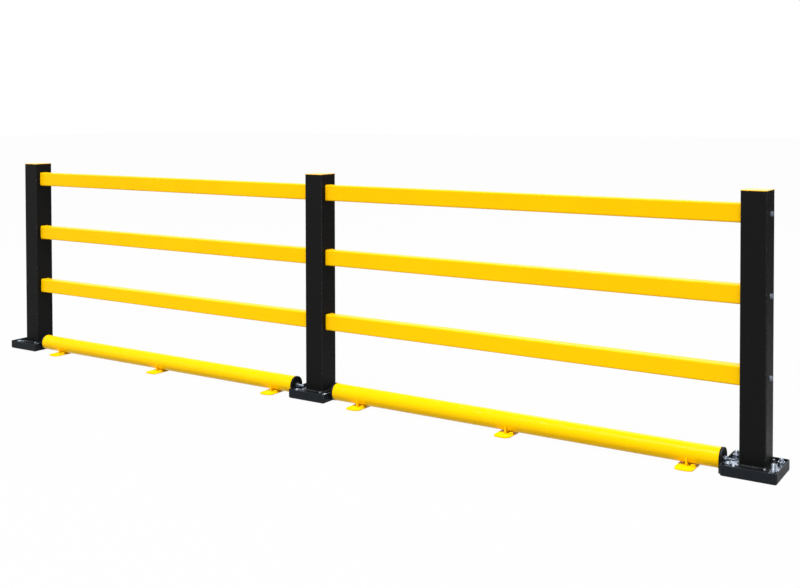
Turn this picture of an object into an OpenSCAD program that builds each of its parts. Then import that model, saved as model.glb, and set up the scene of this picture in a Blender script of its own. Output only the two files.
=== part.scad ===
// Pedestrian safety railing: three box-section posts carry three box rails and one
// round kick rail in each bay. Every post stands in a square floor tray that is
// anchored at its corners, and every kick rail stands on three floor feet.
// The origin is on the floor under the middle post, X runs along the railing and
// -Y is the side that the kick rails stand proud on.

/* [Railing] */
// Height of a post with its cap
total_h = 1206; // [1000:1:1300]
// Distance from one post's axis to the next
bay_l = 2310; // [1600:10:2800]

/* [Posts] */
// Width of a post along the railing
post_w = 112; // [90:1:124]
// Depth of a post across the railing
post_d = 126; // [100:1:140]
// Wall of a post
post_wall = 4; // [3:0.5:6]
// Outer corner radius of a post
post_r = 8; // [6:1:14]
// Thickness of the cap on a post
cap_t = 3; // [2:1:8]
// Width of the foot flange under a post
flange_w = 136; // [130:1:140]
// Depth of the foot flange under a post
flange_d = 180; // [170:1:186]
// Thickness of the foot flange
flange_t = 8; // [5:1:10]
// How far the foot flange stands forward of the post's axis
flange_forward = 8; // [4:1:10]

/* [Rails] */
// Height of a rail's section
rail_h = 84; // [60:1:90]
// Depth of a rail's section
rail_d = 60; // [40:1:80]
// Wall of a rail
rail_wall = 3; // [2:0.5:5]
// Outer corner radius of a rail
rail_r = 8; // [5:1:12]
// Height of the top rail's axis above the floor
rail_top_z = 1105; // [900:1:1140]
// Distance between one rail's axis and the next
rail_pitch = 348; // [250:1:400]
// Radius of the bolt holes at the rails
rail_bolt_r = 6.5; // [4:0.5:8]

/* [Kick rails] */
// Outer diameter of a kick rail
kick_od = 88.9; // [70:0.1:110]
// Wall of a kick rail
kick_wall = 4; // [3:0.5:6]
// Height of a kick rail's axis above the floor
kick_z = 55; // [52:1:70]
// How far a kick rail stands forward of the posts' axis
kick_forward = 58; // [40:1:70]
// Distance from a post's axis to the start of the kick rail on its +X side
kick_gap_start = 150; // [130:1:170]
// Distance from the end of a kick rail to the axis of the next post
kick_gap_end = 130; // [129:1:160]
// Radius of the half-round top of the bracket at a kick rail's end
bracket_r = 46; // [45:1:56]
// Thickness of the bracket's upright plate
bracket_t = 10; // [6:1:12]
// Half width of the arm that joins a bracket to the tray
arm_half_w = 20; // [14:1:26]
// Height of the arm's underside above the floor
arm_z = 16; // [14:1:20]
// Height of the arm that joins a bracket to the tray
arm_h = 26; // [20:1:28]
// Radius of the bolt hole in a kick bracket
bracket_bolt_r = 8.5; // [6:0.5:10]

/* [Trays] */
// Side of a floor tray along the railing
tray_w = 236; // [230:1:239]
// Side of a floor tray across the railing
tray_d = 232; // [225:1:250]
// Height of a floor tray
tray_h = 48; // [44:1:55]
// Wall of a floor tray
tray_wall = 5; // [4:1:6]
// Outer corner radius of a floor tray, at its sides and along its bottom edge
tray_r = 10; // [8:0.5:10]
// Thickness of the tray's floor
tray_floor = 5; // [4:1:6]
// How far a floor tray stands forward of the post's axis
tray_forward = 20; // [10:1:30]

/* [Anchors] */
// Distance between the anchors along the railing
anchor_x = 188; // [160:1:190]
// Distance between the anchors across the railing
anchor_y = 136; // [120:1:180]
// Radius of an anchor hole
anchor_r = 11; // [6:0.5:12]
// Height of the steel saddle's top above the floor
saddle_top = 30; // [24:1:32]
// Wall of the steel saddle that carries the post
saddle_t = 5; // [4:1:8]
// Gap between the saddle and the tray's wall
saddle_gap = 1; // [0.5:0.5:3]

/* [Feet] */
// Place of a bay's first foot, from the bay's middle
foot_first = -848; // [-900:1:-600]
// Place of a bay's second foot, from the bay's middle
foot_second = 12; // [-200:1:200]
// Place of a bay's third foot, from the bay's middle
foot_third = 885; // [600:1:900]
// Width of a foot along the railing
foot_w = 84; // [80:1:110]
// Corner radius of a foot's floor plate
foot_r = 28; // [10:1:38]
// Thickness of a foot's floor plate
foot_t = 5; // [4:1:8]
// How far a foot reaches forward of the kick rail's axis
foot_front = 98; // [90:1:130]
// How far a foot reaches behind the kick rail's axis
foot_back = 50; // [40:1:60]
// Thickness of a foot's upright web
web_t = 8; // [5:1:12]
// How far a foot's web reaches to the front and back of the kick rail's axis
web_reach = 43; // [20:1:44]
// Radius of a foot's bolt holes
foot_bolt_r = 6.5; // [4:0.5:7]
// Distance from a foot's middle to its bolts along the railing
foot_bolt_x = 28; // [20:1:30]
// How far a foot's bolts stand off the kick rail's axis, one in front of it and one behind
foot_bolt_y = 32; // [20:1:36]

/* [Hidden] */

black = [0.06, 0.06, 0.065];
tray_black = [0.10, 0.10, 0.11];
yellow = [0.98, 0.80, 0.02];
zinc = [0.72, 0.75, 0.78];

fine = 48;
eps = 1;

post_x = [-bay_l, 0, bay_l];
bay_x = [-bay_l / 2, bay_l / 2];
rail_z = [rail_top_z, rail_top_z - rail_pitch, rail_top_z - 2 * rail_pitch];
rail_l = bay_l - post_w;
kick_r = kick_od / 2;
kick_l = bay_l - kick_gap_start - kick_gap_end;
kick_shift = (kick_gap_start - kick_gap_end) / 2;
foot_places = [foot_first, foot_second, foot_third];
foot_x = [for (b = bay_x, p = foot_places) b + p];
post_z = saddle_top + flange_t;
saddle_w = tray_w - 2 * tray_wall - 2 * saddle_gap;
saddle_d = tray_d - 2 * tray_wall - 2 * saddle_gap;
saddle_r = tray_r - tray_wall - saddle_gap;
saddle_hollow_r = 1;
flange_r = 8;

// A rectangle with true round corners, centred on the origin.
module rounded_rect(w, d, r) {
    union() {
        square([w - 2 * r, d], center = true);
        square([w, d - 2 * r], center = true);
        for (sx = [-1, 1], sy = [-1, 1])
            translate([sx * (w / 2 - r), sy * (d / 2 - r)]) circle(r = r, $fn = fine);
    }
}

// The section of a box tube, centred on the origin.
module box_section(w, d, wall, r) {
    difference() {
        rounded_rect(w, d, r);
        rounded_rect(w - 2 * wall, d - 2 * wall, r - wall);
    }
}

// A round hole along X through one post wall, centred at the given height.
module hole_along_x(r, x, z, length) {
    translate([x - length / 2, 0, z]) rotate([0, 90, 0]) cylinder(r = r, h = length, $fn = fine);
}

// A post: a box tube on its foot flange, with a bolt hole at each rail on both sides.
module post(x) {
    color(black) translate([x, 0, 0]) difference() {
        translate([0, 0, post_z])
            linear_extrude(total_h - cap_t - post_z) box_section(post_w, post_d, post_wall, post_r);
        for (z = rail_z, side = [-1, 1])
            hole_along_x(rail_bolt_r, side * (post_w - post_wall) / 2, z, post_wall + 2 * eps);
    }
}

// A post cap: a thin plate that closes the tube.
module cap(x) {
    color(yellow) translate([x, 0, total_h - cap_t])
        linear_extrude(cap_t) rounded_rect(post_w, post_d, post_r);
}

// The foot flange under a post: a plate on the saddle.
module post_flange(x) {
    color(black) translate([x, -flange_forward, saddle_top])
        linear_extrude(flange_t) rounded_rect(flange_w, flange_d, flange_r);
}

// A round hole at each of the four anchors.
module anchor_holes(z, h) {
    for (sx = [-1, 1], sy = [-1, 1])
        translate([sx * anchor_x / 2, sy * anchor_y / 2, z]) cylinder(r = anchor_r, h = h, $fn = fine);
}

// A solid box with round corners and a round bottom edge, centred on the origin.
module pan_body(w, d, h, r) {
    flat_w = w - 2 * r;
    flat_d = d - 2 * r;
    union() {
        translate([0, 0, r]) linear_extrude(h - r) rounded_rect(w, d, r);
        translate([-flat_w / 2, -flat_d / 2, 0]) cube([flat_w, flat_d, 2 * r]);
        for (s = [-1, 1]) {
            translate([-flat_w / 2, s * flat_d / 2, r]) rotate([0, 90, 0])
                cylinder(r = r, h = flat_w, $fn = fine);
            translate([s * flat_w / 2, flat_d / 2, r]) rotate([90, 0, 0])
                cylinder(r = r, h = flat_d, $fn = fine);
        }
        for (sx = [-1, 1], sy = [-1, 1])
            translate([sx * flat_w / 2, sy * flat_d / 2, r]) sphere(r = r, $fn = fine);
    }
}

// A floor tray: an open square pan, bored for the anchors.
module tray(x) {
    color(tray_black) translate([x, -tray_forward, 0]) difference() {
        pan_body(tray_w, tray_d, tray_h, tray_r);
        translate([0, 0, tray_floor]) linear_extrude(tray_h)
            rounded_rect(tray_w - 2 * tray_wall, tray_d - 2 * tray_wall, tray_r - tray_wall);
        anchor_holes(-eps, tray_floor + 2 * eps);
    }
}

// A steel saddle: a shallow pan turned over in the tray, bored for the anchors.
module saddle(x) {
    color(zinc) translate([x, -tray_forward, 0]) difference() {
        translate([0, 0, tray_floor]) linear_extrude(saddle_top - tray_floor)
            rounded_rect(saddle_w, saddle_d, saddle_r);
        translate([0, 0, tray_floor - eps]) linear_extrude(saddle_top - saddle_t - tray_floor + eps)
            rounded_rect(saddle_w - 2 * saddle_t, saddle_d - 2 * saddle_t, saddle_hollow_r);
        anchor_holes(saddle_top - saddle_t - eps, saddle_t + 2 * eps);
    }
}

// A rail: a box tube from one post's side to the next.
module rail(x, z) {
    color(yellow) translate([x - rail_l / 2, 0, z]) rotate([90, 0, 90])
        linear_extrude(rail_l) box_section(rail_d, rail_h, rail_wall, rail_r);
}

// A kick rail: a round tube in front of the posts' axis.
module kick_rail(x) {
    color(yellow) translate([x + kick_shift - kick_l / 2, -kick_forward, kick_z]) rotate([0, 90, 0])
        difference() {
            cylinder(r = kick_r, h = kick_l, $fn = 2 * fine);
            translate([0, 0, -eps]) cylinder(r = kick_r - kick_wall, h = kick_l + 2 * eps, $fn = 2 * fine);
        }
}

// A kick bracket, bored on the kick rail's axis. At the end of a kick rail it is an upright
// plate with a half-round top that stands against the tray. At the start of a kick rail
// it is a disc as large as the tube, held off the tray's side by a short arm.
module kick_bracket(x, side) {
    gap = side > 0 ? kick_gap_start : kick_gap_end;
    inner = side > 0 ? gap - bracket_t : tray_w / 2;
    color(black) translate([x, -kick_forward, 0]) mirror([side > 0 ? 0 : 1, 0, 0]) difference() {
        union() {
            translate([inner, 0, kick_z]) rotate([0, 90, 0])
                cylinder(r = bracket_r, h = gap - inner, $fn = 2 * fine);
            if (side > 0)
                translate([tray_w / 2, -arm_half_w, arm_z])
                    cube([inner + eps - tray_w / 2, 2 * arm_half_w, arm_h]);
            else
                translate([inner, -bracket_r, 0]) cube([gap - inner, 2 * bracket_r, kick_z]);
        }
        translate([inner - eps, 0, kick_z]) rotate([0, 90, 0])
            cylinder(r = bracket_bolt_r, h = gap - inner + 2 * eps, $fn = fine);
    }
}

// A foot: a floor plate with round corners and two bolt holes, placed diagonally, and an
// upright web that is cut to the kick rail.
module foot(x) {
    color(yellow) translate([x, -kick_forward, 0]) difference() {
        union() {
            linear_extrude(foot_t) difference() {
                translate([0, (foot_back - foot_front) / 2])
                    rounded_rect(foot_w, foot_front + foot_back, foot_r);
                for (side = [-1, 1])
                    translate([side * foot_bolt_x, -side * foot_bolt_y]) circle(r = foot_bolt_r, $fn = fine);
            }
            translate([-web_t / 2, -web_reach, 0]) cube([web_t, 2 * web_reach, kick_z]);
        }
        translate([-foot_w, 0, kick_z]) rotate([0, 90, 0])
            cylinder(r = kick_r, h = 2 * foot_w, $fn = 2 * fine);
    }
}

post(post_x[0]);  // post_left
post(post_x[1]);  // post_middle
post(post_x[2]);  // post_right
cap(post_x[0]);  // cap_left
cap(post_x[1]);  // cap_middle
cap(post_x[2]);  // cap_right
tray(post_x[0]);  // tray_left
tray(post_x[1]);  // tray_middle
tray(post_x[2]);  // tray_right
saddle(post_x[0]);  // saddle_left
saddle(post_x[1]);  // saddle_middle
saddle(post_x[2]);  // saddle_right
post_flange(post_x[0]);  // post_flange_left
post_flange(post_x[1]);  // post_flange_middle
post_flange(post_x[2]);  // post_flange_right
rail(bay_x[0], rail_z[0]);  // top_rail_left
rail(bay_x[1], rail_z[0]);  // top_rail_right
rail(bay_x[0], rail_z[1]);  // middle_rail_left
rail(bay_x[1], rail_z[1]);  // middle_rail_right
rail(bay_x[0], rail_z[2]);  // lower_rail_left
rail(bay_x[1], rail_z[2]);  // lower_rail_right
kick_rail(bay_x[0]);  // kick_rail_left
kick_rail(bay_x[1]);  // kick_rail_right
kick_bracket(post_x[0], 1);  // kick_bracket_1
kick_bracket(post_x[1], -1);  // kick_bracket_2
kick_bracket(post_x[1], 1);  // kick_bracket_3
kick_bracket(post_x[2], -1);  // kick_bracket_4
foot(foot_x[0]);  // foot_1
foot(foot_x[1]);  // foot_2
foot(foot_x[2]);  // foot_3
foot(foot_x[3]);  // foot_4
foot(foot_x[4]);  // foot_5
foot(foot_x[5]);  // foot_6
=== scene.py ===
# %% [markdown]
# # A pedestrian safety railing
#
# Two bays of a factory walkway railing: three black box posts, yellow rails between them, a round
# yellow kick rail near the floor, and black trays with bright anchors round the posts' feet.
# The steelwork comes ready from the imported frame, so this lesson adds what a drawing leaves out:
# paint, zinc, welds, bolts, light and a camera.

# %% Tools
import math

import bmesh
import bpy
from mathutils import Matrix, Vector


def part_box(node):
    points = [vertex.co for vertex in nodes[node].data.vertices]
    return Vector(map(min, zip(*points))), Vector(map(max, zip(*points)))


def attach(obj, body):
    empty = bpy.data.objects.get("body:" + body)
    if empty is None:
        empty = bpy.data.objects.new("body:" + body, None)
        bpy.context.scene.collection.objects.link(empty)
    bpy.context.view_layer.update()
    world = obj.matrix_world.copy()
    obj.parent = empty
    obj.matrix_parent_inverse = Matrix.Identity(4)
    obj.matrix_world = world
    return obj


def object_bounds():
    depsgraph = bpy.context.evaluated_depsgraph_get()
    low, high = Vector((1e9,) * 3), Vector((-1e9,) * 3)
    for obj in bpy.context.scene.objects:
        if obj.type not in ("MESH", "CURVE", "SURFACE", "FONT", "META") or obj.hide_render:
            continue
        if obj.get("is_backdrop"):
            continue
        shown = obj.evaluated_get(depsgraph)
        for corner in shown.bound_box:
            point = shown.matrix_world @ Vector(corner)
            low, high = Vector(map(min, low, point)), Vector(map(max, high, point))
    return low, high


MM = 0.001

# %% [markdown]
# ## The steelwork
#
# All of them are rigid and move together, so there is one body, called root. The box that the
# steelwork fills is kept, because nothing added later may grow out of it.

# %% Load the steelwork
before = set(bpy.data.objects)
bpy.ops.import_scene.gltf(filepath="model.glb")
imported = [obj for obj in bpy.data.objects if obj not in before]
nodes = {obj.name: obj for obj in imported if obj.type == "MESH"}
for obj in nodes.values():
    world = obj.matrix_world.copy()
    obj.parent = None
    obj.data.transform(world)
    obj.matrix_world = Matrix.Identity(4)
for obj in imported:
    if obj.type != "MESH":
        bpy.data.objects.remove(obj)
cad_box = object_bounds()
BODY = "root"
SIDES = ("left", "middle", "right")


def middle_of(node):
    """The middle of a node's box."""
    low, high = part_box(node)
    return (low + high) / 2


print(len(nodes), "steel parts fill", [round(v, 3) for v in cad_box[1] - cad_box[0]], "m")

# %% [markdown]
# ## The camera
#
# The railing is seen from in front of its right-hand end at head height, so the far bay looks
# shorter than the near one. The camera looks almost level, which keeps the posts upright. What
# would be a tilt down to the kick rail is done with the lens shift, as an architect's camera does.

# %% Place the camera
CAMERA_AT = Vector((3.4822, -4.6403, 1.5341))
TURN, TILT, ROLL = math.radians(32.8488), math.radians(-1.3686), math.radians(-0.1224)
SENSOR = 36.0
LENS = 1.34056 * SENSOR
SHIFT = (0.00546, -0.19472)
SIGHT = 200


def camera_axes(turn, tilt, roll):
    """The camera's right, up and forward directions."""
    level = math.cos(tilt)
    forward = Vector((-math.sin(turn) * level, math.cos(turn) * level, math.sin(tilt)))
    right = Vector((math.cos(turn), math.sin(turn), 0))
    up = right.cross(forward)
    rolled_right = right * math.cos(roll) + up * math.sin(roll)
    rolled_up = up * math.cos(roll) - right * math.sin(roll)
    return rolled_right, rolled_up, forward


right, up, forward = camera_axes(TURN, TILT, ROLL)
camera = bpy.data.objects.new("camera", bpy.data.cameras.new("camera"))
bpy.context.scene.collection.objects.link(camera)
turned = Matrix((right, up, -forward)).transposed().to_4x4()
camera.matrix_world = Matrix.Translation(CAMERA_AT) @ turned
camera.data.sensor_width = SENSOR
camera.data.lens = LENS
camera.data.shift_x, camera.data.shift_y = SHIFT
camera.data.clip_end = SIGHT
bpy.context.scene.camera = camera
print("camera lens", round(camera.data.lens, 2), "mm")

# %% [markdown]
# ## Shader maths in plain Python
#
# A material in Blender is a graph of nodes. Drawing such a graph by hand is slow, so a small class
# wraps a socket, and Python's own signs add the Math nodes. `Finish` holds one graph, of a material
# or of the sky, and its one method `node` adds any other node: first the settings, then what goes
# into its sockets.


# %% A socket that can be added and multiplied
class Reading:
    """A value that varies over a surface, on which + - and * work."""

    def __init__(self, finish, socket):
        self.finish, self.socket = finish, socket

    def _math(self, operation, first, second):
        return self.finish.node("Math", {"operation": operation}, {0: first, 1: second})

    def __add__(self, other):
        return self._math("ADD", self, other)

    def __sub__(self, other):
        return self._math("SUBTRACT", self, other)

    def __rsub__(self, other):
        return self._math("SUBTRACT", other, self)

    def __mul__(self, other):
        return self._math("MULTIPLY", self, other)

    def squeezed(self, low, high):
        """0 below low, 1 above high, and a soft slope between them."""
        settings = {"interpolation_type": "SMOOTHSTEP", "clamp": True}
        inputs = {"Value": self, "From Min": low, "From Max": high}
        return self.finish.node("MapRange", settings, inputs)

    __radd__ = __add__
    __rmul__ = __mul__


# %% A material that grows node by node
class Finish:
    """The nodes of one material, or of the sky when an owner is given."""

    def __init__(self, name, owner=None):
        self.material = owner or bpy.data.materials.new(name)
        self.material.use_nodes = True
        self.tree = self.material.node_tree
        self.tree.nodes.clear()
        self.place = self.node("TexCoord", out="Object")

    def node(self, kind, settings=None, inputs=None, out=0):
        """Adds a node with settings and with values or links in its sockets. Gives an output."""
        made = self.tree.nodes.new("ShaderNode" + kind)
        for name, value in (settings or {}).items():
            setattr(made, name, value)
        for name, value in (inputs or {}).items():
            if isinstance(value, Reading):
                self.tree.links.new(value.socket, made.inputs[name])
            else:
                made.inputs[name].default_value = value
        return Reading(self, made.outputs[out]) if len(made.outputs) else made

    def noise(self, size, detail=3.0, stretch=(1, 1, 1), seed=0.0):
        """Soft spots about size metres across, from 0 to 1."""
        spot = {"Vector": self.place, "Scale": stretch, "Location": (seed, seed, seed)}
        moved = self.node("Mapping", {}, spot)
        inputs = {"Vector": moved, "Scale": 1 / size, "Detail": detail}
        return self.node("TexNoise", {}, inputs, "Fac")

    def mix(self, colour, other, mask):
        """colour where mask is 0, other where it is 1."""
        return self.node("Mix", {"data_type": "RGBA"}, {0: mask, 6: colour, 7: other}, 2)

    def surface(self, settings, bump=None, bump_depth=0.0):
        """The paint or metal itself, as the material's output."""
        if bump is not None:
            wave = {"Height": bump, "Strength": 1.0, "Distance": bump_depth}
            settings["Normal"] = self.node("Bump", {}, wave)
        shader = self.node("BsdfPrincipled", {}, settings)
        self.node("OutputMaterial", {}, {"Surface": shader})
        print(self.material.name, "has", len(self.tree.nodes), "nodes")
        return self.material


def flat(red, green, blue):
    """A colour for a socket."""
    return (red, green, blue, 1.0)


# %% [markdown]
# ## Where a corner is
#
# Paint wears first on corners, and on the black parts a painted highlight lies there too. Every bar
# here has rounded corners, and on a rounded corner the surface faces two directions at once. So the
# product of the normal's parts is 0 on the flats and highest in the middle of the rounding, and it
# finds corners with no painting by hand.


# %% Masks for wear, dust and painted light
def corner_mask(finish):
    """1 in the middle of a rounded corner, 0 on flats."""
    normal = finish.node("NewGeometry", out="Normal")
    split = finish.node("SeparateXYZ", {}, {0: normal}, "X")
    x, y, z = (Reading(finish, split.socket.node.outputs[i]) for i in range(3))
    x2, y2, z2 = x * x, y * y, z * z
    return (x2 * y2 + y2 * z2 + z2 * x2) * 4.0


def facing_up(finish):
    """1 on a surface that looks up, where dust lies and where top light is painted."""
    normal = finish.node("NewGeometry", out="Normal")
    split = finish.node("SeparateXYZ", {}, {0: normal}, "Z")
    return split.squeezed(0.55, 1.0)


def near_floor(finish, height):
    """1 at the floor, 0 at height metres and above."""
    split = finish.node("SeparateXYZ", {}, {0: finish.place}, "Z")
    return 1 - split.squeezed(0.0, height)


# %% [markdown]
# ## Yellow powder coat
#
# Safety yellow is a powder baked onto the steel. It dries with a faint orange peel, small waves a
# few millimetres long, which break up every reflection. A bump made from fine noise gives that
# wave, wide noise lets the yellow drift a little, and a thin film of dust lies on the upper faces.
# Light thrown up by the pale floor is painted into the colour: the yellow is painted a little paler
# towards the floor as painted bounce light, and paler still on the feet's upward faces, which lie
# flat on it. The posts' caps wear the same paint with much more shine.

# %% Make the yellow
YELLOW = flat(0.91, 0.505, 0.0)
YELLOW_DEEP = flat(0.89, 0.480, 0.0)
# Painted bounce light: paler yellows for parts near the floor and for the feet's upper faces.
YELLOW_PAINTED_BOUNCE = flat(0.92, 0.560, 0.0)
YELLOW_PAINTED_FEET_LIGHT = flat(0.95, 0.68, 0.0)
YELLOW_WORN = flat(0.86, 0.62, 0.10)
DUST = flat(0.55, 0.49, 0.38)


def yellow_powder_coat(name, shine):
    finish = Finish(name)
    drift = finish.noise(0.45, 2.0)
    scuffs = finish.noise(0.012, 5.0, (0.25, 1, 1), 3.1).squeezed(0.60, 0.72)
    rubbed = corner_mask(finish).squeezed(0.45, 0.95) * scuffs
    dust = facing_up(finish) * finish.noise(0.03, 4.0, seed=7.7).squeezed(0.5, 0.8)
    colour = finish.mix(YELLOW, YELLOW_DEEP, drift.squeezed(0.35, 0.65))
    # Painted bounce light: the yellow turns paler towards the floor.
    colour = finish.mix(colour, YELLOW_PAINTED_BOUNCE, near_floor(finish, 1.0) * 0.8)
    # Painted light: upward faces right at the floor, the feet's tops, are painted paler.
    colour = finish.mix(colour, YELLOW_PAINTED_FEET_LIGHT, facing_up(finish) * near_floor(finish, 0.04))
    colour = finish.mix(colour, YELLOW_WORN, rubbed * 0.35)
    colour = finish.mix(colour, DUST, dust * 0.05)
    peel = finish.noise(0.0042, 1.5, seed=1.3)
    roughness = 0.17 + 0.08 * finish.noise(0.08, 4.0, seed=5.0) + 0.12 * scuffs + 0.15 * dust
    settings = {"Base Color": colour, "Roughness": roughness, "Specular IOR Level": shine}
    return finish.surface(settings, peel, 0.00020)


# %% [markdown]
# ## Black powder coat
#
# The posts are satin black with a finer grain than the rails. Real black paint is never quite
# black: it is a very dark grey, and what the eye reads as black is how little it reflects. Dust
# shows at once on black, so its film is very thin, and low down it clings to the sides as well.
# The trays have a slightly paler black. Their upward faces, the rims most of all, are painted a
# bluish grey as painted top light, and the rounded corners of posts and trays are lighter, partly
# from wear and partly as a painted highlight.

# %% Make the blacks
BLACK = flat(0.0056, 0.0057, 0.0058)
# One colour for worn corners, painted corner highlights and painted top light.
BLACK_WORN_AND_LIT = flat(0.043, 0.047, 0.054)
TRAY_BLACK = flat(0.0108, 0.0132, 0.0165)


def black_powder_coat(name, base, shine, grain_depth, painted_top_light):
    finish = Finish(name)
    specks = finish.noise(0.010, 5.0, seed=2.2).squeezed(0.52, 0.66)
    rubbed = corner_mask(finish).squeezed(0.35, 0.9) * (0.25 + 0.75 * specks)
    dust = facing_up(finish) + near_floor(finish, 0.12) * 0.35
    dust = dust * finish.noise(0.02, 4.0, seed=9.1).squeezed(0.45, 0.75)
    # Rounded corners: partly wear, partly a painted highlight.
    colour = finish.mix(base, BLACK_WORN_AND_LIT, rubbed * 0.8)
    # Painted top light: upward faces painted bluish grey, strongest on the trays' rims.
    colour = finish.mix(colour, BLACK_WORN_AND_LIT, facing_up(finish) * painted_top_light)
    colour = finish.mix(colour, DUST, dust * 0.015)
    grain = finish.noise(0.0018, 2.0, seed=4.4)
    roughness = 0.40 + 0.10 * finish.noise(0.06, 3.0, seed=6.0) + 0.10 * specks
    settings = {"Base Color": colour, "Roughness": roughness, "Specular IOR Level": shine}
    return finish.surface(settings, grain, grain_depth)


# %% [markdown]
# ## Zinc
#
# Bolts are electroplated and slightly blue, with duller clouds. The plate inside each tray is
# dipped in molten zinc instead, which freezes in crystals called spangle. Both are pure metal to
# the shader, and differ in how rough they are and in the pattern: fine rub marks on one, Voronoi
# cells on the other.

# %% Make the zincs
ZINC_BRIGHT = flat(0.33, 0.37, 0.43)
ZINC_DULL = flat(0.12, 0.14, 0.17)
SPANGLE_PALE = flat(0.34, 0.38, 0.44)
SPANGLE_DARK = flat(0.22, 0.25, 0.30)
SPANGLES_PER_METRE = 90.0


def plated_zinc():
    finish = Finish("plated_zinc")
    clouds = finish.noise(0.006, 4.0, seed=1.9)
    marks = finish.noise(0.0015, 3.0, (1, 1, 0.2), 8.3)
    colour = finish.mix(ZINC_BRIGHT, ZINC_DULL, clouds.squeezed(0.48, 0.78))
    roughness = 0.36 + 0.14 * clouds + 0.08 * marks
    settings = {"Base Color": colour, "Roughness": roughness, "Metallic": 1.0}
    return finish.surface(settings, marks, 0.00006)


def dipped_zinc():
    finish = Finish("dipped_zinc")
    grid = {"Vector": finish.place, "Scale": SPANGLES_PER_METRE, "Randomness": 1.0}
    cells = finish.node("TexVoronoi", {}, grid, "Color")
    shade = finish.node("SeparateColor", {}, {0: cells}, "Red")
    wash = finish.noise(0.05, 3.0, seed=3.3)
    colour = finish.mix(SPANGLE_PALE, SPANGLE_DARK, shade * 0.7 + wash * 0.3)
    roughness = 0.30 + 0.20 * shade + 0.10 * wash
    settings = {"Base Color": colour, "Roughness": roughness, "Metallic": 1.0}
    return finish.surface(settings, shade, 0.00005)


YELLOW_PAINT = yellow_powder_coat("yellow_powder_coat", 0.05)
CAP_PAINT = yellow_powder_coat("yellow_cap_coat", 0.50)
BLACK_PAINT = black_powder_coat("black_powder_coat", BLACK, 0.06, 0.00012, 0.05)
TRAY_PAINT = black_powder_coat("black_tray_coat", TRAY_BLACK, 0.065, 0.00016, 0.45)
BRIGHT_ZINC = plated_zinc()
DIPPED_ZINC = dipped_zinc()

# %% [markdown]
# ## Paint the steelwork
#
# Each part came in with one material slot that names its paint. A node's object keeps its mesh and
# its place, and only what fills the slot changes. The names decide: rails, caps and feet are
# yellow, trays have their own black, the plates in the trays are zinc, and the rest is black.

# %% Give each part its finish
FINISH_OF = {
    "tray": TRAY_PAINT, "saddle": DIPPED_ZINC, "cap": CAP_PAINT,
    "post": BLACK_PAINT, "kick_bracket": BLACK_PAINT,
}


def paint_for(node):
    for start, material in FINISH_OF.items():
        if node.startswith(start):
            return material
    return YELLOW_PAINT


for name, part in nodes.items():
    for slot in part.material_slots:
        slot.material = paint_for(name)
print("painted", len(nodes), "parts")

# %% [markdown]
# ## Turned and hexagonal parts
#
# Nuts, washers, bolts and studs are all made on a lathe or from hexagon bar, so one tool makes all
# of them: a stack of closed rings, each with its own height and radius, joined by faces. A ring's
# radius may change round the circle. That gives a hexagon with the cone that cuts its corners, and
# for a stud, a radius that climbs like a screw gives a real thread.

# %% The lathe
AROUND = 48


class Lathe:
    """A mesh made of turned pieces, each about its own axis."""

    def __init__(self):
        self.mesh = bmesh.new()

    def turn(self, rings, place, closed=True):
        """rings are (height, radius) in mm, and a radius is a number or a function of the angle."""
        loops = []
        for height, radius in rings:
            loop = []
            for step in range(AROUND):
                angle = math.tau * step / AROUND
                r = radius(angle) if callable(radius) else radius
                point = Vector((r * math.cos(angle), r * math.sin(angle), height)) * MM
                loop.append(self.mesh.verts.new(place @ point))
            loops.append(loop)
        pairs = list(zip(loops, loops[1:]))
        if closed == "ring":
            pairs.append((loops[-1], loops[0]))
        elif closed:
            self.mesh.faces.new(list(reversed(loops[0])))
            self.mesh.faces.new(loops[-1])
        for lower, upper in pairs:
            for i in range(AROUND):
                j = (i + 1) % AROUND
                self.mesh.faces.new((lower[i], lower[j], upper[j], upper[i]))

    def finish(self, name, material, slot):
        """Turns the mesh into a piece that rides with the railing."""
        bmesh.ops.recalc_face_normals(self.mesh, faces=self.mesh.faces)
        data = bpy.data.meshes.new(name)
        self.mesh.to_mesh(data)
        self.mesh.free()
        data.shade_smooth()
        data.set_sharp_from_angle(angle=math.radians(28))
        data.materials.append(material)
        piece = bpy.data.objects.new(name, data)
        bpy.context.scene.collection.objects.link(piece)
        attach(piece, BODY)
        print(name, "has", len(data.polygons), "faces")
        return piece


# %% Hexagons, washers and threads
CONE = math.tan(math.radians(30))


def hexagon(across_flats, limit):
    """A hexagon's radius at an angle, cut off at limit where the corners are turned away."""
    def radius(angle):
        off = (angle + math.pi / 6) % (math.pi / 3) - math.pi / 6
        return min(across_flats / 2 / math.cos(off), limit)
    return radius


def hexagon_rings(across_flats, low, high, both_ends=True):
    """Rings of a hexagonal body from low to high, with its corners turned away."""
    face = across_flats / 2 * 0.95
    corner = across_flats / math.sqrt(3)
    drop = (corner - face) * CONE
    steps = [i / 3 for i in range(4)]
    top = [(high - drop * s, hexagon(across_flats, face + (corner - face) * s)) for s in steps]
    bottom = [(low + drop * s, hexagon(across_flats, face + (corner - face) * s)) for s in steps]
    if not both_ends:
        bottom = [(low, hexagon(across_flats, corner))]
    return bottom + list(reversed(top))


def nut(lathe, place, across_flats, bore, low, high):
    """A hexagon nut with a countersunk bore."""
    sink = bore * 0.5 + 0.9
    rings = hexagon_rings(across_flats, low, high)
    rings += [(high, sink), (high - 0.9, bore / 2), (low + 0.9, bore / 2), (low, sink)]
    lathe.turn(rings, place, "ring")


def washer(lathe, place, outer, bore, low, high):
    """A flat washer with a stamped, slightly rounded edge."""
    edge = 0.4
    rings = [(low, bore / 2), (low, outer / 2 - edge), (low + edge, outer / 2)]
    rings += [(high - edge, outer / 2), (high, outer / 2 - edge), (high, bore / 2)]
    lathe.turn(rings, place, "ring")


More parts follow.
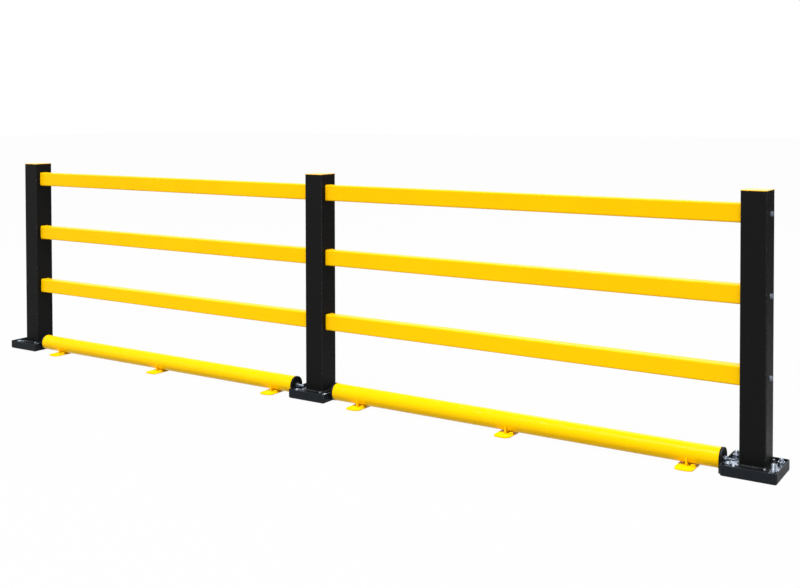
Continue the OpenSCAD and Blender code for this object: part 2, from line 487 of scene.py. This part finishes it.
def stud(lathe, place, diameter, pitch, low, high):
    """A threaded rod with a chamfered end."""
    depth = 0.55 * pitch
    rows = 4
    count = int((high - low) / pitch * rows)
    rings = []

    def thread(height):
        def radius(angle):
            phase = (height / pitch - angle / math.tau) % 1.0
            wave = abs(2 * phase - 1)
            end = (high - height) + diameter / 2 - depth * 1.6
            return min(diameter / 2 - depth * wave, max(end, diameter / 2 - depth * 1.6))
        return radius

    for row in range(count + 1):
        height = low + (high - low) * row / count
        rings.append((height, thread(height)))
    rings.append((high + 0.4, diameter / 2 - depth * 2.0))
    lathe.turn(rings, place)


# %% [markdown]
# ## The anchors in the trays
#
# Four anchors hold each post down. Each is a threaded M20 stud set in the floor, with a large
# washer and a nut pulled down on the zinc plate inside the tray. The right post's studs were left
# long and stand proud of the tray's rim, and the others were cut short under thin nuts. No two
# nuts stop at the same angle, so each is turned a little.

# %% Anchor bolts
ANCHOR_STEP = (188, 136)
ANCHOR = {"hex": 30, "bore": 20, "pitch": 2.5}
ANCHOR_WASHER = {"outer": 37, "bore": 21, "top": 3}
# The first nut's angle in radians, and how much further each next one is turned.
NUT_TURN = (0.37, 1.3)
NUT_TOP = {"left": 12, "middle": 12, "right": 18}
# How far each stud stands above the plate: left rear and front, then right rear and front.
STUD_TOPS = {"left": (14, 14, 14, 14), "middle": (14, 14, 14, 14), "right": (35, 22, 33, 46)}


def upright(x, y, z, turn=0.0):
    """A place with its axis straight up. Lengths in metres."""
    return Matrix.Translation((x, y, z)) @ Matrix.Rotation(turn, 4, "Z")


def anchors(side):
    lathe = Lathe()
    tray = middle_of("tray_" + side)
    plate_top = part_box("saddle_" + side)[1].z
    number = 0
    for sx in (-1, 1):
        for sy in (1, -1):
            x = tray.x + sx * ANCHOR_STEP[0] / 2 * MM
            y = tray.y + sy * ANCHOR_STEP[1] / 2 * MM
            place = upright(x, y, plate_top, NUT_TURN[0] + NUT_TURN[1] * number)
            rest = ANCHOR_WASHER["top"]
            washer(lathe, place, ANCHOR_WASHER["outer"], ANCHOR_WASHER["bore"], 0, rest)
            nut(lathe, place, ANCHOR["hex"], ANCHOR["bore"], rest, NUT_TOP[side])
            stud(lathe, place, ANCHOR["bore"], ANCHOR["pitch"], 0.5, STUD_TOPS[side][number])
            number += 1
    return lathe.finish("anchors_" + side, BRIGHT_ZINC, "zinc")


for side in SIDES:
    anchors(side)

# %% [markdown]
# ## The bolts through the posts
#
# The rails are held by bolts that go through the post from its outer side. Where a railing ends,
# the bolt heads show, one at each rail's height. A head is a hexagon with its corners turned away
# and a thin collar under it, on a plain washer.

# %% Bolt heads on the end posts
RAILS = ("top_rail", "middle_rail", "lower_rail")
# Across the head's flats, across the washer, and the head's height, in mm.
RAIL_BOLT = (18, 24, 6.5)


def sideways(x, y, z, direction, turn=0.0):
    """A place with its axis along X, towards direction, which is 1 or -1."""
    along = Matrix.Rotation(direction * math.pi / 2, 4, "Y")
    return Matrix.Translation((x, y, z)) @ along @ Matrix.Rotation(turn, 4, "Z")


def bolt_head(lathe, place, across_flats, washer_across, height, start=0.0):
    washer(lathe, place, washer_across, across_flats * 0.7, start, start + 2.5)
    collar = [(start + 2.5, across_flats * 0.46), (start + 3.1, across_flats * 0.46)]
    lathe.turn(collar, place)
    lathe.turn(hexagon_rings(across_flats, start + 3.1, start + 3.1 + height, False), place)


def rail_bolts(side, direction):
    lathe = Lathe()
    low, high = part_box("post_" + side)
    face = high.x if direction > 0 else low.x
    for number, rail in enumerate(RAILS):
        z = middle_of(f"{rail}_right").z
        bolt_head(lathe, sideways(face, 0, z, direction, 0.5 + 1.1 * number), *RAIL_BOLT)
    return lathe.finish("rail_bolts_" + side, BRIGHT_ZINC, "zinc")


rail_bolts("left", -1)
rail_bolts("right", 1)

# %% [markdown]
# ## The bolts of the kick rail
#
# A black bracket closes each end of the kick rail: a disc where a bay starts, and an upright plate
# with a half-round top where it ends. One bolt holds each. Its nut sits against the bracket, on the
# side of the post, and its threaded end points at the post. The disc's bolt is the shorter one.

# %% Kick rail bolts
KICK = {"hex": 19, "bore": 12, "pitch": 1.75, "top": 13}
KICK_WASHER = {"outer": 24, "bore": 13, "top": 2.5}
# Each bracket's bolt: which way it points from the bracket, and how far its end reaches.
KICK_BOLTS = {1: (-1, 20), 2: (1, 46), 3: (-1, 20), 4: (1, 46)}
DISC_PLATE = 10


def kick_bolt(number, direction, reach):
    """The nut and thread that point from a bracket to its post."""
    lathe = Lathe()
    rail = middle_of("kick_rail_left")
    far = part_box(f"kick_bracket_{number}")[1].x
    face = far if direction > 0 else far - DISC_PLATE * MM
    place = sideways(face, rail.y, rail.z, direction, 0.8 * number)
    rest = KICK_WASHER["top"]
    washer(lathe, place, KICK_WASHER["outer"], KICK_WASHER["bore"], 0, rest)
    nut(lathe, place, KICK["hex"], KICK["bore"], rest, KICK["top"])
    stud(lathe, place, KICK["bore"], KICK["pitch"], 0.5, reach)
    return lathe.finish(f"kick_bolt_{number}", BRIGHT_ZINC, "zinc")


for number, (direction, reach) in KICK_BOLTS.items():
    kick_bolt(number, direction, reach)

# %% [markdown]
# ## The screws of the post's foot
#
# The flange welded to the post's foot is screwed to the zinc plate at its corners. These are small
# round-headed screws with a hexagon socket. The socket is a real hole, a little over half as deep
# as the head is high.

# %% Flange screws
SCREW_AT = (56, 75)
# The head's width and height, and the width of the key that fits its socket, in mm.
SCREW = (13, 8, 6)


def socket_screw(lathe, place, head, height, key):
    """A round head with a hexagon socket in it."""
    inner = hexagon(key, key)
    rings = [(0, head / 2 - 0.3), (0.4, head / 2), (height - 0.9, head / 2)]
    rings += [(height, head / 2 - 0.9), (height, inner)]
    rings += [(height * 0.45, inner), (height * 0.45, 0.2)]
    lathe.turn(rings, place)


def flange_screws(side):
    lathe = Lathe()
    flange = middle_of("post_flange_" + side)
    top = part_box("post_flange_" + side)[1].z
    for sx in (-1, 1):
        for sy in (-1, 1):
            x = flange.x + sx * SCREW_AT[0] * MM
            y = flange.y + sy * SCREW_AT[1] * MM
            socket_screw(lathe, upright(x, y, top, sx + sy), *SCREW)
    return lathe.finish("flange_screws_" + side, BRIGHT_ZINC, "zinc")


for side in SIDES:
    flange_screws(side)

# %% [markdown]
# ## The bolts of the floor feet
#
# Each foot has two low hexagon heads, one in front of the tube and one behind it. They are painted
# over in the rail's yellow, so they show only as small bumps that catch light and throw a little
# shade.

# %% Foot bolts
FOOT_BOLTS = {"spread": 28, "off": 32, "plate": 5}
FOOT_BOLT = (19, 24, 6)
FEET = 6


def foot_bolts():
    lathe = Lathe()
    rail = middle_of("kick_rail_left")
    for number in range(1, FEET + 1):
        foot = middle_of(f"foot_{number}")
        for sx in (-1, 1):
            x = foot.x + sx * FOOT_BOLTS["spread"] * MM
            y = rail.y - sx * FOOT_BOLTS["off"] * MM
            place = upright(x, y, FOOT_BOLTS["plate"] * MM, 0.9 * number + sx)
            bolt_head(lathe, place, *FOOT_BOLT)
    return lathe.finish("foot_bolts", YELLOW_PAINT, "yellow_paint")


foot_bolts()

# %% [markdown]
# ## Collars on the rails' ends
#
# A cut tube end is sharp and bare, so each rail's end sits in a short painted collar, barely
# thicker than the rail. What shows of it is its rounded rim, a thin light line just before the
# post. It is swept: one outline of the section is repeated at a few places along X, each time a
# little larger or smaller, and the outlines are joined.

# %% Sweep an outline along an axis
COLLAR = ((0, -0.6), (0.5, 0.4), (1.5, 0.9), (7.0, 0.9), (8.2, 0.5), (8.6, -0.6))


def round_outline(width, height, radius, steps=8):
    """A rectangle with round corners, as (u, v) points in mm."""
    points = []
    for corner, (su, sv) in enumerate(((1, 1), (-1, 1), (-1, -1), (1, -1))):
        for step in range(steps + 1):
            angle = math.pi / 2 * (corner + step / steps)
            u = su * (width / 2 - radius) + radius * math.cos(angle)
            v = sv * (height / 2 - radius) + radius * math.sin(angle)
            points.append((u, v))
    return points


def sweep(mesh, place, sections, closed=True):
    """Joins outlines. sections are (distance along the place's axis, points)."""
    loops = []
    for distance, points in sections:
        loops.append([mesh.verts.new(place @ (Vector((u, v, distance)) * MM)) for u, v in points])
    pairs = list(zip(loops, loops[1:]))
    if closed:
        pairs.append((loops[-1], loops[0]))
    for first, second in pairs:
        for i in range(len(first)):
            j = (i + 1) % len(first)
            mesh.faces.new((first[i], first[j], second[j], second[i]))


# %% Collars on all rails
def collar_sections(width, height, radius):
    sections = []
    for along, out in COLLAR:
        sections.append((along, round_outline(width + 2 * out, height + 2 * out, radius + out)))
    return sections


def collars(rails, name, radius=None):
    """A collar at both ends of each rail named."""
    lathe = Lathe()
    for rail in rails:
        low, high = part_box(rail)
        width, height = (high.y - low.y) / MM, (high.z - low.z) / MM
        corner = radius or width / 2 - 0.05
        middle = (low + high) / 2
        for x, direction in ((low.x, 1), (high.x, -1)):
            along = Matrix.Rotation(direction * math.pi / 2, 4, "Y")
            upward = Matrix.Rotation(math.pi / 2, 4, "Z")
            place = Matrix.Translation((x, middle.y, middle.z)) @ (along @ upward)
            sweep(lathe.mesh, place, collar_sections(width, height, corner))
    return lathe.finish(name, YELLOW_PAINT, "yellow_paint")


collars([f"{rail}_{bay}" for rail in RAILS for bay in ("left", "right")], "rail_collars", 8)
collars(["kick_rail_left", "kick_rail_right"], "kick_collars")

# %% [markdown]
# ## Welds and ledges at the posts' feet
#
# A post is welded to its flange all round. A weld laid by hand is a row of small overlapping
# ripples, so the bead's outline swells and shrinks as it goes round. In front of each post a short
# black bar is welded flat on the flange, and only its upper edge catches light.

# %% Weld beads
BEAD = 5
RIPPLE = 5.5
POST_CORNER = 8


def bead_outlines(width, depth, radius):
    """The bead round a box tube as rings of points in mm, from the flange up to the tube."""
    inner = round_outline(width - 1, depth - 1, radius - 0.5, 24)
    length, sizes = 0.0, []
    for i, (u, v) in enumerate(inner):
        before = inner[i - 1]
        length += math.hypot(u - before[0], v - before[1])
        ripple = 0.16 * math.sin(math.tau * length / RIPPLE)
        sway = 0.06 * math.sin(length / 9)
        sizes.append(BEAD * (1 + ripple + sway))
    profile = [(1.0, 0.0), (0.86, 0.36), (0.60, 0.66), (0.30, 0.88), (0.0, 1.0)]
    rings = []
    for out, rise in profile:
        ring = []
        for (u, v), size in zip(inner, sizes):
            reach = math.hypot(u, v)
            ring.append((u + u / reach * out * size, v + v / reach * out * size, rise * size))
        rings.append(ring)
    return rings


def weld(side):
    lathe = Lathe()
    low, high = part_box("post_" + side)
    middle = (low + high) / 2
    rings = bead_outlines((high.x - low.x) / MM, (high.y - low.y) / MM, POST_CORNER)
    foot = Vector((middle.x, middle.y, low.z))
    loops = []
    for ring in rings:
        loops.append([lathe.mesh.verts.new(foot + Vector(point) * MM) for point in ring])
    for lower, upper in zip(loops, loops[1:]):
        for i in range(len(lower)):
            j = (i + 1) % len(lower)
            lathe.mesh.faces.new((lower[i], lower[j], upper[j], upper[i]))
    return lathe.finish("weld_" + side, BLACK_PAINT, "black_paint")


for side in SIDES:
    weld(side)

# %% Ledges on the flanges
LEDGE = {"length": 68, "depth": 14, "height": 8, "edge": 1.5, "ahead": 75}


def ledge(side):
    lathe = Lathe()
    flange = middle_of("post_flange_" + side)
    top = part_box("post_flange_" + side)[1].z
    place = Matrix.Translation((flange.x, flange.y - LEDGE["ahead"] * MM, top))
    length, depth, height, edge = LEDGE["length"], LEDGE["depth"], LEDGE["height"], LEDGE["edge"]
    outline = round_outline(length, depth, 3)
    halfway = round_outline(length - edge * 0.6, depth - edge * 0.6, 2.6)
    smaller = round_outline(length - 2 * edge, depth - 2 * edge, 3 - edge + 0.2)
    sections = [(0, outline), (height - edge, outline)]
    sections += [(height - edge * 0.3, halfway), (height, smaller)]
    sweep(lathe.mesh, place, sections, closed=False)
    count = len(outline)
    verts = list(lathe.mesh.verts)
    lathe.mesh.faces.new(verts[:count])
    lathe.mesh.faces.new(verts[-count:])
    return lathe.finish("ledge_" + side, TRAY_PAINT, "black_tray")


for side in SIDES:
    ledge(side)

# %% [markdown]
# ## The stage
#
# The railing stands on a plain white floor that runs on as far as the camera sees. To the camera
# and in reflections the floor is nearly all white glow, and the little real surface mixed in keeps
# the railing's shadow. To the light that falls on it, it is grey paper.
#
# A large soft lamp above and in front gives the rails their light upper edges. A weak one stands to
# the left, a third lights the back, and the sky fills the rest. A dark cloth that only reflections
# see takes the white out of the posts' right-hand sides.

# %% Floor, sky and lamps
FLOOR_GLOW = 0.975
FLOOR_PAPER = flat(0.42, 0.42, 0.42)
FLOOR_REACH = 60
SKY_LEVEL = 0.60


def white_seen(finish):
    """1 for rays that look at the stage straight, in a reflection or through glass."""
    rays = finish.node("LightPath", out="Is Camera Ray").socket.node
    names = ("Is Camera Ray", "Is Glossy Ray", "Is Transmission Ray")
    seen = [Reading(finish, rays.outputs[name]) for name in names]
    return seen[0] + seen[1] + seen[2]


def floor():
    finish = Finish("white_floor")
    glow = finish.node("Emission", {}, {"Color": flat(1, 1, 1), "Strength": 1.0})
    paper = finish.node("BsdfDiffuse", {}, {"Color": FLOOR_PAPER})
    factor = white_seen(finish) * FLOOR_GLOW
    both = finish.node("MixShader", {}, {0: factor, 1: paper, 2: glow})
    finish.node("OutputMaterial", {}, {"Surface": both})
    reach = FLOOR_REACH
    mesh = bpy.data.meshes.new("floor")
    corners = [(-reach, -reach, 0), (reach, -reach, 0), (reach, reach, 0), (-reach, reach, 0)]
    mesh.from_pydata(corners, [], [(0, 1, 2, 3)])
    mesh.materials.append(finish.material)
    made = bpy.data.objects.new("floor", mesh)
    bpy.context.scene.collection.objects.link(made)
    made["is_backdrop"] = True


def sky():
    """White to whoever looks at it, and a softer light to what it shines on."""
    world = bpy.data.worlds.new("sky")
    bpy.context.scene.world = world
    finish = Finish("sky", world)
    level = SKY_LEVEL + white_seen(finish) * (1 - SKY_LEVEL)
    light = finish.node("Background", {}, {"Color": flat(1, 1, 1), "Strength": level})
    finish.node("OutputWorld", {}, {"Surface": light})


# Where each lamp stands, what it points at and its size, in metres, and its power in watts.
LAMPS = {
    "softbox_above": ((1.0, -5.6, 11.6), (0, 0, 0.4), (10.0, 5.0), 1990),
    "softbox_left": ((-6.5, -5.0, 3.0), (-0.5, 0, 0.6), (3.0, 3.0), 50),
    "softbox_back": ((0.0, 8.0, 6.0), (0, 0, 0.5), (8.0, 3.0), 350),
}


def lamp(name, at, aim, size, power):
    data = bpy.data.lights.new(name, "AREA")
    data.shape, data.size, data.size_y, data.energy = "RECTANGLE", size[0], size[1], power
    made = bpy.data.objects.new(name, data)
    bpy.context.scene.collection.objects.link(made)
    made.location = at
    made.rotation_euler = (Vector(aim) - Vector(at)).to_track_quat("-Z", "Y").to_euler()


CLOTH_FAR = flat(0.10, 0.10, 0.10)
CLOTH_NEAR = flat(0.40, 0.40, 0.41)
CLOTH = {"left": 0.4, "right": 9.5, "near": 0.7, "far": 7.0}
CLOTH_WALL = {"left": 2.6, "top": 5.0}


def dark_card():
    """A cloth on the floor and up a wall behind the right end, which only reflections see."""
    finish = Finish("card_cloth")
    depth = finish.node("SeparateXYZ", {}, {0: finish.place}, "Y")
    shade = finish.mix(CLOTH_NEAR, CLOTH_FAR, depth.squeezed(CLOTH["near"], CLOTH["far"] * 0.8))
    cloth = finish.node("BsdfDiffuse", {}, {"Color": shade})
    finish.node("OutputMaterial", {}, {"Surface": cloth})
    mesh = bpy.data.meshes.new("card")
    lift = 0.002
    left, right, near, far = CLOTH["left"], CLOTH["right"], CLOTH["near"], CLOTH["far"]
    on_floor = [(left, near, lift), (right, near, lift), (right, far, lift), (left, far, lift)]
    wall_left, top = CLOTH_WALL["left"], CLOTH_WALL["top"]
    on_wall = [(wall_left, far, lift), (right, far, lift), (right, far, top), (wall_left, far, top)]
    mesh.from_pydata(on_floor + on_wall, [], [(0, 1, 2, 3), (4, 5, 6, 7)])
    mesh.materials.append(finish.material)
    made = bpy.data.objects.new("card", mesh)
    bpy.context.scene.collection.objects.link(made)
    made.visible_camera = made.visible_diffuse = made.visible_shadow = False
    made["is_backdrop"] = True


floor()
sky()
for name, setup in LAMPS.items():
    lamp(name, *setup)
dark_card()
bpy.context.scene.view_settings.view_transform = "Standard"
print("lit by", len(bpy.data.lights), "lamps")

# %% [markdown]
# ## The size at the end
#
# Everything added sits on or inside the steelwork, so the finished railing fills the same box as
# the bare one.

# %% Measure the growth
full_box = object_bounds()
growth = (full_box[1] - full_box[0]) - (cad_box[1] - cad_box[0])
print("grew by", [round(v / MM, 2) for v in growth], "mm")
